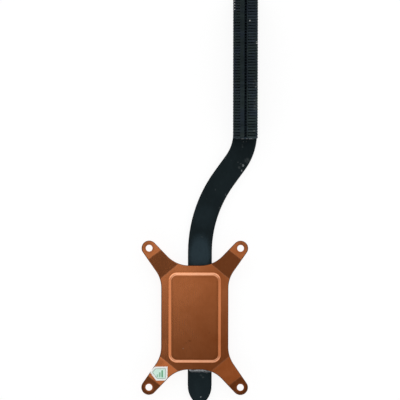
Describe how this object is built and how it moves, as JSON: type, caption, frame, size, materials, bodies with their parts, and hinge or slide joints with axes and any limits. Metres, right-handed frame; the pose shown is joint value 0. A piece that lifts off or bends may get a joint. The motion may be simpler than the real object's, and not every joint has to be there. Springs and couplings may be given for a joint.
{
  "type": "laptop heatsink",
  "caption": "Laptop heatsink: stamped copper cold plate with a raised contact pad and bent spring arms, on a flattened black heat pipe that bends sideways to a narrow stack of folded fins.",
  "frame": {"origin": "on the flat back of the heat pipe, under the middle of the four screw holes", "axes": "+Y along the pipe from the cold plate to the fins, +X across it towards the side that the pipe bends to, +Z from the pipe's back towards the contact face"},
  "size_m": [0.0413, 0.1472, 0.007],
  "materials": {
    "bare_copper": "bare stamped copper, satin and lightly tarnished",
    "black_pipe": "satin black coat over copper",
    "black_fins": "thin black coat over folded aluminium sheet",
    "solder": "dull tin solder",
    "label": "pale mint label with a plain green print"
  },
  "bodies": {
    "root": {"cold_plate": "bare_copper", "heat_pipe": "black_pipe", "plate_solder": "solder", "fin_solder": "solder", "inspection_label": "label", "fin_01": "black_fins", "fin_02": "black_fins", "fin_03": "black_fins", "fin_04": "black_fins", "fin_05": "black_fins", "fin_06": "black_fins", "fin_07": "black_fins", "fin_08": "black_fins", "fin_09": "black_fins", "fin_10": "black_fins", "fin_11": "black_fins", "fin_12": "black_fins", "fin_13": "black_fins", "fin_14": "black_fins", "fin_15": "black_fins", "fin_16": "black_fins", "fin_17": "black_fins", "fin_18": "black_fins", "fin_19": "black_fins", "fin_20": "black_fins", "fin_21": "black_fins", "fin_22": "black_fins", "fin_23": "black_fins", "fin_24": "black_fins", "fin_25": "black_fins", "fin_26": "black_fins", "fin_27": "black_fins", "fin_28": "black_fins", "fin_29": "black_fins", "fin_30": "black_fins", "fin_31": "black_fins", "fin_32": "black_fins", "fin_33": "black_fins", "fin_34": "black_fins", "fin_35": "black_fins", "fin_36": "black_fins", "fin_37": "black_fins", "fin_38": "black_fins", "fin_39": "black_fins", "fin_40": "black_fins", "fin_41": "black_fins", "fin_42": "black_fins", "fin_43": "black_fins", "fin_44": "black_fins", "fin_45": "black_fins", "fin_46": "black_fins", "fin_47": "black_fins", "fin_48": "black_fins", "fin_49": "black_fins", "fin_50": "black_fins"}
  },
  "joints": []
}
